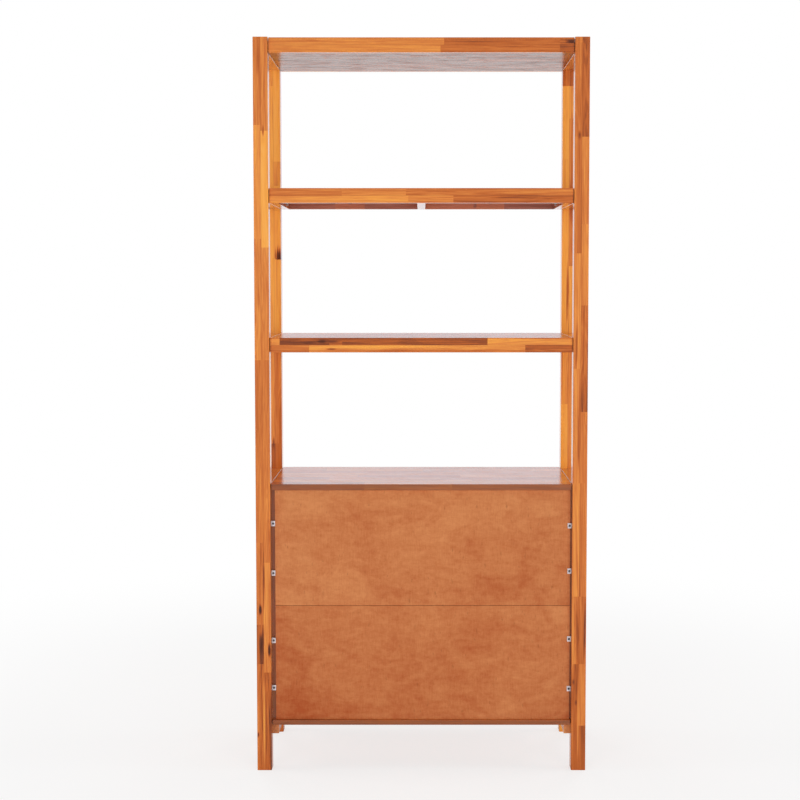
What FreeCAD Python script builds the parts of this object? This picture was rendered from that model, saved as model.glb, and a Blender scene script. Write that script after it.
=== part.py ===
import FreeCAD, Part
import os
import re
import Sketcher

# A tall open bookcase over a two-door cabinet. Two ladder-shaped side frames of square stock
# carry a closed top, two hollow shelves and the cabinet. Millimetres, X along the width from
# left to right, Y from the doors to the back, Z up from the floor. The origin is on the floor,
# under the middle of the outline, knobs included.

SIZES = {
    # Whole object
    "total_height": 1800,
    "total_width": 814,
    "frame_depth": 350,
    "stock": 36,
    "post_round": 2,
    "foot_cut_width": 1.2,
    "foot_cut_rise": 1.2,
    # Heights above the floor: undersides of the two shelves, top face of the cabinet,
    # underside of its bottom board, seam between the two back panels
    "upper_shelf_level": 1402,
    "lower_shelf_level": 1038,
    "cabinet_height": 713.5,
    "base_level": 111.5,
    "seam_level": 410,
    # Shelves and top
    "end_gap": 1.25,
    "rear_setback": 9,
    "shelf_rail": 18,
    "shelf_panel": 12,
    "lining": 6,
    "batten_width": 20,
    "shelf_round": 1.5,
    # Cabinet
    "top_board": 15,
    "bottom_board": 12,
    "side_panel": 15,
    "side_setback": 20,
    "middle_shelf": 15,
    "middle_gap": 1,
    "ply": 4,
    "ply_setback": 17,
    "ply_margin_left": 3,
    "ply_margin_right": 9.5,
    "ply_gap": 0.5,
    "board_round": 1,
    "cleat_width": 16,
    "cleat_height": 26,
    "cleat_setback": 25,
    # Doors, catches and knobs
    "door": 18,
    "door_gap": 2.5,
    "hinge_gap": 3,
    "door_round": 1.5,
    "knob_level": 470,
    "knob_inset": 38,
    "knob_reach": 24,
    "knob_radius": 15,
    "knob_neck": 6.5,
    "knob_base": 8.5,
    "knob_round": 2.5,
    "tenon_radius": 5,
    "tenon_length": 14,
    "catch_length": 38,
    "catch_depth": 14,
    "catch_height": 12,
    "catch_round": 1.5,
    "catch_inset": 8,
    "strike": 1.2,
    "strike_gap": 0.5,
    # Butt hinges
    "hinge_height": 50,
    "hinge_inset": 80,
    "hinge_offset": 3.4,
    "leaf": 1.2,
    "leaf_width": 18,
    "knuckle_radius": 3,
    "knuckle_gap": 0.4,
    "leaf_relief": 0.5,
    "pin_radius": 1.5,
    "pin_head_radius": 2.4,
    "pin_head": 1.2,
    "hinge_screw_line": 11.5,
    "hinge_screw_spread": 14,
    # Fasteners
    "fit": 0.05,
    "dowel_radius": 4,
    "dowel_length": 30,
    "board_dowel_depth": 10,
    "board_dowel_spread": 100,
    "bolt_radius": 3,
    "bolt_length": 36,
    "bolt_clearance": 0.3,
    "bolt_head_radius": 5.5,
    "bolt_head": 3.5,
    "socket_radius": 2.3,
    "socket_depth": 2.1,
    "bolt_spread": 90,
    "bolt_edge": 8,
    "bolt_low": 180,
    "bolt_high": 640,
    "screw_radius": 1.5,
    "screw_length": 15,
    "screw_tip": 3,
    "screw_head_radius": 2.7,
    "screw_head": 1.8,
    "screw_crown": 1.6,
    "screw_rim": 0.7,
    "slot_length": 3.2,
    "slot_width": 0.8,
    "slot_depth": 0.9,
    "hole_spare": 0.5,
    # Clips on the backs
    "clip_width": 10.5,
    "clip_height": 13,
    "clip": 2.5,
    "clip_rib": 2,
    "clip_round": 0.6,
    # Shelf pins
    "peg_radius": 2.5,
    "peg_depth": 8,
    "peg_plate": 2,
    "peg_plate_width": 10,
    "peg_plate_reach": 9,
    "peg_setback": 60,
}

# Clip heights above the floor, as fitted by hand: bottom to top
CLIP_LEVELS = {"left": (201.5, 326.5, 496.5, 609.5), "right": (204, 323, 491.5, 615)}

# Places that many pieces share, as lengths on the sheet
FRONT = "((knob_reach - frame_depth) / 2)"
BACK = "((knob_reach + frame_depth) / 2)"
HALF_CLEAR = "(total_width / 2 - stock)"
RAIL_LENGTH = "(frame_depth - 2 * stock)"
SHELF_LENGTH = "(total_width - 2 * stock - 2 * end_gap)"
SHELF_DEPTH = "(frame_depth - rear_setback)"
SIDE_DEPTH = "(frame_depth - side_setback - ply_setback - ply)"
SIDE_HEIGHT = "(cabinet_height - top_board - base_level - bottom_board)"
CABINET_FLOOR = "(base_level + bottom_board)"
CABINET_CEILING = "(cabinet_height - top_board)"
DOOR_WIDTH = "(total_width / 2 - stock - hinge_gap - hinge_gap / 2)"
DOOR_HEIGHT = f"({SIDE_HEIGHT} - 2 * door_gap)"
KNUCKLE = "((hinge_height - 2 * knuckle_gap) / 3)"

# Undersides of the side rails
RAIL_LEVELS = {
    "top": "(total_height - stock)",
    "upper_shelf": "upper_shelf_level",
    "lower_shelf": "lower_shelf_level",
    "cabinet": "(cabinet_height - stock)",
    "base": "(base_level + bottom_board - stock)",
}
SHELVES = ("upper_shelf", "lower_shelf")

SIDES = {"left": -1, "right": 1}
INWARD = {"left": "right", "right": "left"}
AXES = {
    "x": FreeCAD.Vector(1, 0, 0),
    "y": FreeCAD.Vector(0, 1, 0),
    "z": FreeCAD.Vector(0, 0, 1),
}

# Each face's sketch plane, the piece's extent that the plane is moved by, the sign of that
# move along the plane's normal, and whether a cut from there runs along the normal
DRILLING = {
    "left": ("YZ_Plane", None, "", True),
    "right": ("YZ_Plane", 0, "", False),
    "front": ("XZ_Plane", None, "", False),
    "back": ("XZ_Plane", 1, "-", True),
    "under": ("XY_Plane", None, "", True),
    "upper": ("XY_Plane", 2, "", False),
}

doc = FreeCAD.newDocument("bookcase_cabinet")
sheet = doc.addObject("Spreadsheet::Sheet", "sizes")
nodes = []


def fill_sheet():
    """Put the driving dimensions into named cells."""
    for row, (alias, value) in enumerate(SIZES.items(), 1):
        sheet.set(f"A{row}", alias)
        sheet.set(f"B{row}", str(value))
        sheet.setAlias(f"B{row}", alias)
    doc.recompute()


def bound(length):
    """Write a length such as 'stock / 2' as an expression on the sheet's cells."""
    return re.sub(r"[a-z_]+", lambda word: "sizes." + word.group(), length)


def size(alias):
    """Read one driving dimension back from the sheet."""
    return float(sheet.get(alias))


def keep(label, item):
    """Name a finished piece and list it for writing."""
    item.Label = label
    nodes.append(item)
    return item


def place(item, corner):
    """Bind an object's position to lengths on the sheet."""
    for axis, length in zip("xyz", corner):
        item.setExpression(f"Placement.Base.{axis}", bound(length))


def constrain_point(sketch, geometry, point, spot):
    """Hold a sketch point at two bound distances from the sketch's origin."""
    for kind, axis, length in (("DistanceX", -2, spot[0]), ("DistanceY", -1, spot[1])):
        if length == "0":
            sketch.addConstraint(Sketcher.Constraint("PointOnObject", geometry, point, axis))
        else:
            row = sketch.addConstraint(Sketcher.Constraint(kind, -1, 1, geometry, point, 1.0))
            sketch.setExpression(f"Constraints[{row}]", bound(length))


def polygon(sketch, corners):
    """A closed outline of straight lines through bound corners."""
    count = len(corners)
    for step in range(count):
        start = FreeCAD.Vector(step, step * step, 0)
        end = FreeCAD.Vector(step + 1, (step + 1) * (step + 1), 0)
        sketch.addGeometry(Part.LineSegment(start, end))
    for step in range(count):
        sketch.addConstraint(Sketcher.Constraint("Coincident", step, 2, (step + 1) % count, 1))
    for step, spot in enumerate(corners):
        constrain_point(sketch, step, 1, spot)


def circles(sketch, centres, radius):
    """Circles of one bound radius round bound centres."""
    for spot in centres:
        ring = Part.Circle(FreeCAD.Vector(1, 1, 0), AXES["z"], 1.0)
        row = sketch.addGeometry(ring)
        constrain_point(sketch, row, 3, spot)
        datum = sketch.addConstraint(Sketcher.Constraint("Radius", row, 1.0))
        sketch.setExpression(f"Constraints[{datum}]", bound(radius))


def beside(side, inner, thickness):
    """Lower X of a piece whose inner face stands a given way out from the middle plane."""
    if side == "right":
        return inner
    return f"-({inner}) - ({thickness})"


def across(side, inner, thickness):
    """X inside a mirrored piece of a point a given way out from its inner face."""
    if side == "right":
        return inner
    return f"{thickness} - ({inner})"


class Piece:
    """A piece of wood: an outline padded up, then rounded and drilled, set down by its corner."""

    def __init__(self, label, corner, extents):
        self.label = label
        self.extents = extents
        self.count = 0
        self.body = keep(label, doc.addObject("PartDesign::Body", label))
        place(self.body, corner)
        length, width, height = extents
        outline = self.sketch("XY_Plane")
        polygon(outline, [("0", "0"), (length, "0"), (length, width), ("0", width)])
        pad = self.feature("PartDesign::Pad", outline)
        pad.setExpression("Length", bound(height))
        doc.recompute()

    def name(self, what):
        """A fresh name for a feature of this piece."""
        self.count += 1
        return f"{self.label}_{what}_{self.count}"

    def sketch(self, role):
        """A sketch on one of the body's own origin planes."""
        sketch = self.body.newObject("Sketcher::SketchObject", self.name("sketch"))
        plane = next(item for item in self.body.Origin.OriginFeatures if item.Role == role)
        sketch.AttachmentSupport = (plane, [""])
        sketch.MapMode = "FlatFace"
        return sketch

    def feature(self, kind, sketch):
        """A feature made from a sketch."""
        feature = self.body.newObject(kind, self.name("feature"))
        feature.Profile = sketch
        return feature

    def cut(self, sketch, depth, along_normal):
        """Pocket a sketch into the piece, and make sure that it took material away."""
        before = self.body.Shape.Volume
        pocket = self.feature("PartDesign::Pocket", sketch)
        pocket.Reversed = along_normal
        if depth is None:
            pocket.Type = "ThroughAll"
        else:
            pocket.setExpression("Length", bound(depth))
        doc.recompute()
        if self.body.Shape.Volume > before - 1e-3:
            raise RuntimeError(f"{self.label}: a cut took nothing away")

    def ease(self, axes, radius):
        """Round the edges that run along the given axes."""
        tip = self.body.Tip
        names = []
        for number, edge in enumerate(tip.Shape.Edges, 1):
            direction = edge.tangentAt(edge.FirstParameter)
            if any(abs(direction.dot(AXES[axis])) > 0.999 for axis in axes):
                names.append(f"Edge{number}")
        fillet = self.body.newObject("PartDesign::Fillet", self.name("fillet"))
        fillet.Base = (tip, names)
        fillet.setExpression("Radius", bound(radius))
        doc.recompute()
        return self

    def drill(self, face, centres, radius, depth=None):
        """Bore round holes into one face, placed from the piece's corner; no depth is right through."""
        role, extent, sign, along_normal = DRILLING[face]
        sketch = self.sketch(role)
        if extent is not None:
            sketch.setExpression("AttachmentOffset.Base.z", bound(f"{sign}({self.extents[extent]})"))
        circles(sketch, centres, radius)
        self.cut(sketch, depth, along_normal)
        return self


def turned(label, profile):
    """A round master piece: a profile of radius and height revolved about Z."""
    body = doc.addObject("PartDesign::Body", label)
    sketch = body.newObject("Sketcher::SketchObject", label + "_profile")
    plane = next(item for item in body.Origin.OriginFeatures if item.Role == "XZ_Plane")
    sketch.AttachmentSupport = (plane, [""])
    sketch.MapMode = "FlatFace"
    polygon(sketch, profile)
    revolution = body.newObject("PartDesign::Revolution", label + "_turning")
    revolution.Profile = sketch
    revolution.ReferenceAxis = (sketch, ["V_Axis"])
    revolution.Angle = 360
    doc.recompute()
    return body


def box(label, corner, extents):
    """A plain block as a master for booleans."""
    block = doc.addObject("Part::Box", label)
    for side, length in zip(("Length", "Width", "Height"), extents):
        block.setExpression(side, bound(length))
    place(block, corner)
    return block


def rod(label, corner, radius, height):
    """A plain upright cylinder as a master for booleans."""
    cylinder = doc.addObject("Part::Cylinder", label)
    cylinder.setExpression("Radius", bound(radius))
    cylinder.setExpression("Height", bound(height))
    place(cylinder, corner)
    return cylinder


def fuse(label, shapes):
    """Several master shapes joined into one."""
    union = doc.addObject("Part::MultiFuse", label)
    union.Shapes = shapes
    return union


def cut(label, base, tool):
    """One master shape less another."""
    difference = doc.addObject("Part::Cut", label)
    difference.Base = base
    difference.Tool = tool
    return difference


def group(label, master, placements):
    """One node of like pieces: a copy of the master at each placement."""
    copies = []
    for placement in placements:
        copy = master.Shape.copy()
        copy.Placement = placement * copy.Placement
        copies.append(copy)
    node = doc.addObject("Part::Feature", label)
    node.Shape = Part.makeCompound(copies)
    return keep(label, node)


def aimed(point, direction):
    """A placement that puts a master's +Z along a direction."""
    return FreeCAD.Placement(FreeCAD.Vector(*point), FreeCAD.Rotation(AXES["z"], direction))


def bore_places(piece, radius):
    """Middles of the round holes of one radius in a finished piece."""
    found = []
    for face in piece.Shape.Faces:
        surface = face.Surface
        if isinstance(surface, Part.Cylinder) and abs(surface.Radius - radius) < 1e-4:
            found.append(face.CenterOfMass)
    return found


def front_plane():
    """Y of the doors' front faces."""
    return (size("knob_reach") - size("frame_depth")) / 2


def half_clear():
    """X of the posts' inner faces on the right."""
    return size("total_width") / 2 - size("stock")


def cabinet_span():
    """Heights of the cabinet's floor and ceiling."""
    return size("base_level") + size("bottom_board"), size("cabinet_height") - size("top_board")


def back_seat():
    """Y of the faces that the plywood backs lie against."""
    return front_plane() + size("frame_depth") - size("ply_setback") - size("ply")


def hinge_levels():
    """Heights of the middles of the lower and the upper hinge."""
    return (
        f"{CABINET_FLOOR} + door_gap + hinge_inset",
        f"{CABINET_CEILING} - door_gap - hinge_inset",
    )


def hinge_screw_levels():
    """Heights of the screws of both hinges on one side."""
    lower, upper = hinge_levels()
    return [
        f"{level} {sign} hinge_screw_spread"
        for level in (lower, upper)
        for sign in ("-", "+")
    ]


def add_posts():
    """Four posts, drilled for the rails' dowels, the cabinet's bolts and the hinges' screws."""
    dowel_places = []
    for level in RAIL_LEVELS.values():
        dowel_places += [("stock / 2", f"{level} + stock / 4"), ("stock / 2", f"{level} + 3 * stock / 4")]
    bolt_lines = {
        "front": "side_setback + bolt_edge",
        "rear": "stock - ply_setback - ply - bolt_edge",
    }
    for side in SIDES:
        for end, depth, rail_face in (("front", FRONT, "back"), ("rear", f"{BACK} - stock", "front")):
            corner = (beside(side, HALF_CLEAR, "stock"), depth, "0")
            post = Piece(f"post_{end}_{side}", corner, ("stock", "stock", "total_height"))
            post.ease("z", "post_round")
            foot = post.sketch("XZ_Plane")
            polygon(foot, [
                (across(side, "foot_cut_width", "stock"), "0"),
                (across(side, "0", "stock"), "0"),
                (across(side, "0", "stock"), "foot_cut_rise"),
            ])
            post.cut(foot, None, False)
            post.drill(rail_face, dowel_places, "dowel_radius + fit", "dowel_length / 2 + hole_spare")
            bolts = [(bolt_lines[end], "bolt_low"), (bolt_lines[end], "bolt_high")]
            bolt_depth = "bolt_length - side_panel + hole_spare"
            post.drill(INWARD[side], bolts, "bolt_radius + fit", bolt_depth)
            if end == "front":
                screws = [("hinge_screw_line - hinge_offset", level) for level in hinge_screw_levels()]
                post.drill(INWARD[side], screws, "screw_radius + fit", "screw_length + hole_spare")


def add_side_rails():
    """Five rails on each side, dowelled into the posts and drilled for what they carry."""
    ends = [("stock / 2", "stock / 4"), ("stock / 2", "3 * stock / 4")]
    shelf_bolt_depth = "bolt_length - batten_width - end_gap + hole_spare"
    bolt_heights = {
        "top": ("lining + (stock - lining - shelf_panel) / 2", shelf_bolt_depth),
        "upper_shelf": ("(stock - shelf_panel) / 2", shelf_bolt_depth),
        "lower_shelf": ("(stock - shelf_panel) / 2", shelf_bolt_depth),
        "base": ("stock - bottom_board - cleat_height / 2", "bolt_length - cleat_width + hole_spare"),
    }
    for side in SIDES:
        for level_name, level in RAIL_LEVELS.items():
            corner = (beside(side, HALF_CLEAR, "stock"), f"{FRONT} + stock", level)
            rail = Piece(f"side_rail_{level_name}_{side}", corner, ("stock", RAIL_LENGTH, "stock"))
            rail.ease("y", "shelf_round")
            for face in ("front", "back"):
                rail.drill(face, ends, "dowel_radius + fit", "dowel_length / 2 + hole_spare")
            if level_name in bolt_heights:
                height, depth = bolt_heights[level_name]
                bolts = [(f"{RAIL_LENGTH} / 2 {sign} bolt_spread", height) for sign in ("-", "+")]
                rail.drill(INWARD[side], bolts, "bolt_radius + fit", depth)


def add_shelf(name, level, with_lining):
    """A shelf or the top: two rails, battens between them and a panel flush with their tops."""
    left_end = f"-({SHELF_LENGTH}) / 2"
    between = f"({SHELF_DEPTH} - 2 * shelf_rail)"
    inner_front = f"{FRONT} + shelf_rail"
    rail_extents = (SHELF_LENGTH, "shelf_rail", "stock")
    for end, depth in (("front", FRONT), ("rear", f"{BACK} - rear_setback - shelf_rail")):
        Piece(f"{name}_{end}_rail", (left_end, depth, level), rail_extents).ease("x", "shelf_round")
    Piece(
        f"{name}_panel",
        (left_end, inner_front, f"{level} + stock - shelf_panel"),
        (SHELF_LENGTH, between, "shelf_panel"),
    )
    batten_level = level
    batten_height = "(stock - shelf_panel)"
    if with_lining:
        Piece(f"{name}_lining", (left_end, inner_front, level), (SHELF_LENGTH, between, "lining"))
        batten_level = f"{level} + lining"
        batten_height = "(stock - shelf_panel - lining)"
    batten_extents = ("batten_width", between, batten_height)
    # The bolts line up with the middle of the side rails, which lies behind that of the battens.
    middle = "(frame_depth / 2 - shelf_rail)"
    bolts = [(f"{middle} {sign} bolt_spread", f"{batten_height} / 2") for sign in ("-", "+")]
    for side in SIDES:
        inner = f"{HALF_CLEAR} - end_gap - batten_width"
        corner = (beside(side, inner, "batten_width"), inner_front, batten_level)
        batten = Piece(f"{name}_end_batten_{side}", corner, batten_extents)
        batten.drill("left", bolts, "bolt_radius + bolt_clearance")
    if not with_lining:
        Piece(f"{name}_centre_batten", ("-batten_width / 2", inner_front, batten_level), batten_extents)


def add_cabinet_boards():
    """Top and bottom boards, side panels, middle shelf, cleats and the two plywood backs."""
    left_end = f"-({SHELF_LENGTH}) / 2"
    dowel_line = f"({HALF_CLEAR} - side_panel / 2)"
    board_middle = "(frame_depth / 2)"
    board_dowels = [
        (f"{SHELF_LENGTH} / 2 {side} {dowel_line}", f"{board_middle} {end} board_dowel_spread")
        for side in ("-", "+")
        for end in ("-", "+")
    ]
    dowel_bore = "dowel_radius + fit"
    board_depth = "board_dowel_depth + hole_spare"
    extents = (SHELF_LENGTH, SHELF_DEPTH, "top_board")
    top = Piece("cabinet_top_board", (left_end, FRONT, CABINET_CEILING), extents)
    top.ease("x", "board_round").drill("under", board_dowels, dowel_bore, board_depth)
    extents = (SHELF_LENGTH, SHELF_DEPTH, "bottom_board")
    bottom = Piece("cabinet_bottom_board", (left_end, FRONT, "base_level"), extents)
    bottom.ease("x", "board_round").drill("upper", board_dowels, dowel_bore, board_depth)

    side_middle = "(frame_depth / 2 - side_setback)"
    edge_dowels = [("side_panel / 2", f"{side_middle} {sign} board_dowel_spread") for sign in ("-", "+")]
    edge_depth = "dowel_length - board_dowel_depth + hole_spare"
    bolts = [
        (line, height)
        for line in ("bolt_edge", f"{SIDE_DEPTH} - bolt_edge")
        for height in (f"bolt_low - {CABINET_FLOOR}", f"bolt_high - {CABINET_FLOOR}")
    ]
    peg_height = f"seam_level - middle_shelf / 2 - peg_plate - {CABINET_FLOOR}"
    pegs = [("peg_setback", peg_height), (f"{SIDE_DEPTH} - peg_setback", peg_height)]
    for side in SIDES:
        side_x = beside(side, f"{HALF_CLEAR} - side_panel", "side_panel")
        corner = (side_x, f"{FRONT} + side_setback", CABINET_FLOOR)
        panel = Piece(f"cabinet_side_{side}", corner, ("side_panel", SIDE_DEPTH, SIDE_HEIGHT))
        panel.drill("under", edge_dowels, dowel_bore, edge_depth)
        panel.drill("upper", edge_dowels, dowel_bore, edge_depth)
        panel.drill("left", bolts, "bolt_radius + bolt_clearance")
        panel.drill(INWARD[side], pegs, "peg_radius + fit", "peg_depth + hole_spare")
        clip_line = across(side, "side_panel - clip_width / 2", "side_panel")
        screws = [(clip_line, f"{level} - {CABINET_FLOOR}") for level in CLIP_LEVELS[side]]
        panel.drill("back", screws, "screw_radius + fit", "screw_length - clip - ply + hole_spare")

        cleat_x = beside(side, f"{HALF_CLEAR} - cleat_width", "cleat_width")
        corner = (cleat_x, f"{FRONT} + cleat_setback", "base_level - cleat_height")
        extents = ("cleat_width", "frame_depth - 2 * cleat_setback", "cleat_height")
        cleat = Piece(f"bottom_cleat_{side}", corner, extents).ease("y", "board_round")
        cleat_middle = "(frame_depth / 2 - cleat_setback)"
        cleat_bolts = [(f"{cleat_middle} {sign} bolt_spread", "cleat_height / 2") for sign in ("-", "+")]
        cleat.drill("left", cleat_bolts, "bolt_radius + bolt_clearance")

    shelf_half = f"({HALF_CLEAR} - side_panel - middle_gap)"
    corner = (f"-{shelf_half}", f"{FRONT} + side_setback + middle_gap", "seam_level - middle_shelf / 2")
    extents = (f"2 * {shelf_half}", f"{SIDE_DEPTH} - 2 * middle_gap", "middle_shelf")
    Piece("cabinet_middle_shelf", corner, extents).ease("x", "board_round")

    ply_width = f"(2 * {HALF_CLEAR} - ply_margin_left - ply_margin_right)"
    ply_corner_x = f"-{HALF_CLEAR} + ply_margin_left"
    ply_corner_y = f"{BACK} - ply_setback - ply"
    spans = {
        "lower": (f"{CABINET_FLOOR} + ply_gap", "seam_level - ply_gap", CLIP_LEVELS["left"][:2]),
        "upper": ("seam_level + ply_gap", f"{CABINET_CEILING} - ply_gap", CLIP_LEVELS["left"][2:]),
    }
    for name, (low, high, clip_levels) in spans.items():
        extents = (ply_width, "ply", f"({high}) - ({low})")
        back = Piece(f"back_panel_{name}", (ply_corner_x, ply_corner_y, low), extents)
        # The left clips' screws pass through the panel, whose edge lies past them on that side only.
        screws = [("clip_width / 2 - ply_margin_left", f"{level} - ({low})") for level in clip_levels]
        back.drill("back", screws, "screw_radius + fit")


def add_doors():
    """Two inset doors with a turned knob each and a strike plate near the top."""
    knob = turned("knob_master", [
        ("0", "0"),
        ("tenon_radius", "0"),
        ("tenon_radius", "tenon_length"),
        ("knob_base", "tenon_length"),
        ("knob_neck", "tenon_length + knob_reach / 3"),
        ("knob_radius", "tenon_length + knob_reach / 2"),
        ("knob_radius", "tenon_length + knob_reach * 3 / 4"),
        ("knob_base", "tenon_length + knob_reach"),
        ("0", "tenon_length + knob_reach"),
    ])
    turning = knob.Tip
    rims = []
    for number, edge in enumerate(turning.Shape.Edges, 1):
        if isinstance(edge.Curve, Part.Circle) and edge.CenterOfMass.z > size("tenon_length") + 1:
            rims.append(f"Edge{number}")
    rounding = knob.newObject("PartDesign::Fillet", "knob_rims")
    rounding.Base = (turning, rims)
    rounding.setExpression("Radius", bound("knob_round"))
    doc.recompute()

    tenon_end = front_plane() + size("tenon_length")
    door_floor = f"({CABINET_FLOOR} + door_gap)"
    for side, sign in SIDES.items():
        corner = (beside(side, "hinge_gap / 2", DOOR_WIDTH), FRONT, door_floor)
        door = Piece(f"door_{side}", corner, (DOOR_WIDTH, "door", DOOR_HEIGHT))
        door.ease("xz", "door_round")
        knob_place = [(across(side, "knob_inset", DOOR_WIDTH), f"knob_level - {door_floor}")]
        door.drill("front", knob_place, "tenon_radius + fit", "tenon_length + hole_spare")
        screw_line = "hinge_screw_line - hinge_offset"
        screws = [(screw_line, f"{level} - {door_floor}") for level in hinge_screw_levels()]
        door.drill(side, screws, "screw_radius + fit", "screw_length + hole_spare")
        knob_x = sign * (size("hinge_gap") / 2 + size("knob_inset"))
        spot = (knob_x, tenon_end, size("knob_level"))
        group(f"door_knob_{side}", knob, [aimed(spot, -AXES["y"])])

        strike_x = beside(side, "catch_inset", "catch_length")
        strike_z = f"{CABINET_CEILING} - catch_height"
        extents = ("catch_length", "strike", "catch_height - 2 * door_gap")
        Piece(f"strike_plate_{side}", (strike_x, f"{FRONT} + door", strike_z), extents)


def add_catches():
    """Two magnetic catches under the cabinet top, one behind each strike plate."""
    master = Piece("catch_master", ("0", "0", "0"), ("catch_length", "catch_depth", "catch_height"))
    master.ease("z", "catch_round")
    nodes.remove(master.body)
    front = front_plane() + size("door") + size("strike") + size("strike_gap")
    level = cabinet_span()[1] - size("catch_height")
    inset, length = size("catch_inset"), size("catch_length")
    places = [
        FreeCAD.Placement(FreeCAD.Vector(start, front, level), FreeCAD.Rotation())
        for start in (-inset - length, inset)
    ]
    group("magnetic_catches", master.body, places)


def add_hinges():
    """Butt hinges: a leaf with two knuckles on the post, one with the middle knuckle on the door."""
    half = "hinge_height / 2"
    relief = "knuckle_radius + leaf_relief"
    countersink = doc.addObject("Part::Cone", "countersink")
    countersink.setExpression("Radius1", bound("screw_head_radius + fit"))
    countersink.setExpression("Radius2", bound("screw_radius + fit"))
    countersink.setExpression("Height", bound("leaf"))
    doc.recompute()

    def screw_cones(label, face_x, direction):
        """Conical screw seats in a leaf, from its face towards the wood."""
        seats = []
        for number, sign in enumerate((-1, 1)):
            seat = doc.addObject("Part::Feature", f"{label}_seat_{number}")
            seat.Shape = countersink.Shape.copy()
            spot = (face_x, size("hinge_screw_line"), sign * size("hinge_screw_spread"))
            seat.Placement = aimed(spot, direction)
            seats.append(seat)
        return seats

    def leaf(label, plate_x, knuckles, reliefs, face_x, direction):
        """One leaf: a plate that clears the other leaf's knuckles, with its own knuckles and holes."""
        plate = box(f"{label}_plate", (plate_x, "0", f"-{half}"), ("leaf", "leaf_width", "hinge_height"))
        cleared = plate
        for number, (low, height) in enumerate(reliefs):
            room = rod(f"{label}_room_{number}", ("0", "0", low), relief, height)
            cleared = cut(f"{label}_cleared_{number}", cleared, room)
        barrels = []
        for number, (low, height) in enumerate(knuckles):
            barrels.append(rod(f"{label}_knuckle_{number}", ("0", "0", low), "knuckle_radius", height))
        joined = fuse(f"{label}_joined", [cleared] + barrels)
        bore = rod(f"{label}_bore", ("0", "0", f"-{half}"), "pin_radius + fit", "hinge_height")
        holes = fuse(f"{label}_holes", [bore] + screw_cones(label, face_x, direction))
        finished = cut(label, joined, holes)
        doc.recompute()
        return finished

    gap, plate = size("hinge_gap"), size("leaf")
    post_leaf = leaf(
        "post_leaf", "-hinge_gap / 2",
        knuckles=[(f"-{half}", KNUCKLE), (f"{half} - {KNUCKLE}", KNUCKLE)],
        reliefs=[(f"-{KNUCKLE} / 2 - knuckle_gap", f"{KNUCKLE} + 2 * knuckle_gap")],
        face_x=plate - gap / 2, direction=-AXES["x"],
    )
    door_leaf = leaf(
        "door_leaf", "hinge_gap / 2 - leaf",
        knuckles=[(f"-{KNUCKLE} / 2", KNUCKLE)],
        reliefs=[(f"-{half}", f"{KNUCKLE} + knuckle_gap"), (f"{KNUCKLE} / 2", f"{KNUCKLE} + knuckle_gap")],
        face_x=gap / 2 - plate, direction=AXES["x"],
    )
    pin = fuse("pin_master", [
        rod("pin_shank", ("0", "0", f"-{half}"), "pin_radius", "hinge_height"),
        rod("pin_top", ("0", "0", half), "pin_head_radius", "pin_head"),
    ])
    screw = turned("hinge_screw_master", [
        ("0", "0"),
        ("screw_head_radius", "0"),
        ("screw_radius", "leaf"),
        ("screw_radius", "leaf + screw_length - screw_tip"),
        ("0", "leaf + screw_length"),
    ])
    doc.recompute()

    axis_x = half_clear() - gap / 2
    axis_y = front_plane() - size("hinge_offset")
    floor, ceiling = cabinet_span()
    inset = size("door_gap") + size("hinge_inset")
    middles = (floor + inset, ceiling - inset)
    turns = {"left": FreeCAD.Rotation(), "right": FreeCAD.Rotation(AXES["y"], 180)}
    spots = {}
    for side, sign in SIDES.items():
        ends = [FreeCAD.Vector(sign * axis_x, axis_y, height) for height in middles]
        spots[side] = [FreeCAD.Placement(end, turns[side]) for end in ends]
    group("hinge_post_leaves", post_leaf, spots["left"] + spots["right"])
    upright = [FreeCAD.Placement(place.Base, FreeCAD.Rotation()) for side in SIDES for place in spots[side]]
    group("hinge_pins", pin, upright)
    screw_y = axis_y + size("hinge_screw_line")
    spread = size("hinge_screw_spread")
    heights = [z + shift for z in middles for shift in (-spread, spread)]
    post_screws = []
    for side, sign in SIDES.items():
        outward = AXES["x"] * sign
        face = gap / 2 - plate
        post_screws += [aimed((sign * (axis_x + face), screw_y, z), outward) for z in heights]
        door_screws = [aimed((sign * (axis_x - face), screw_y, z), -outward) for z in heights]
        group(f"hinge_door_leaves_{side}", door_leaf, spots[side])
        group(f"hinge_door_screws_{side}", screw, door_screws)
    group("hinge_post_screws", screw, post_screws)


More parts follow.
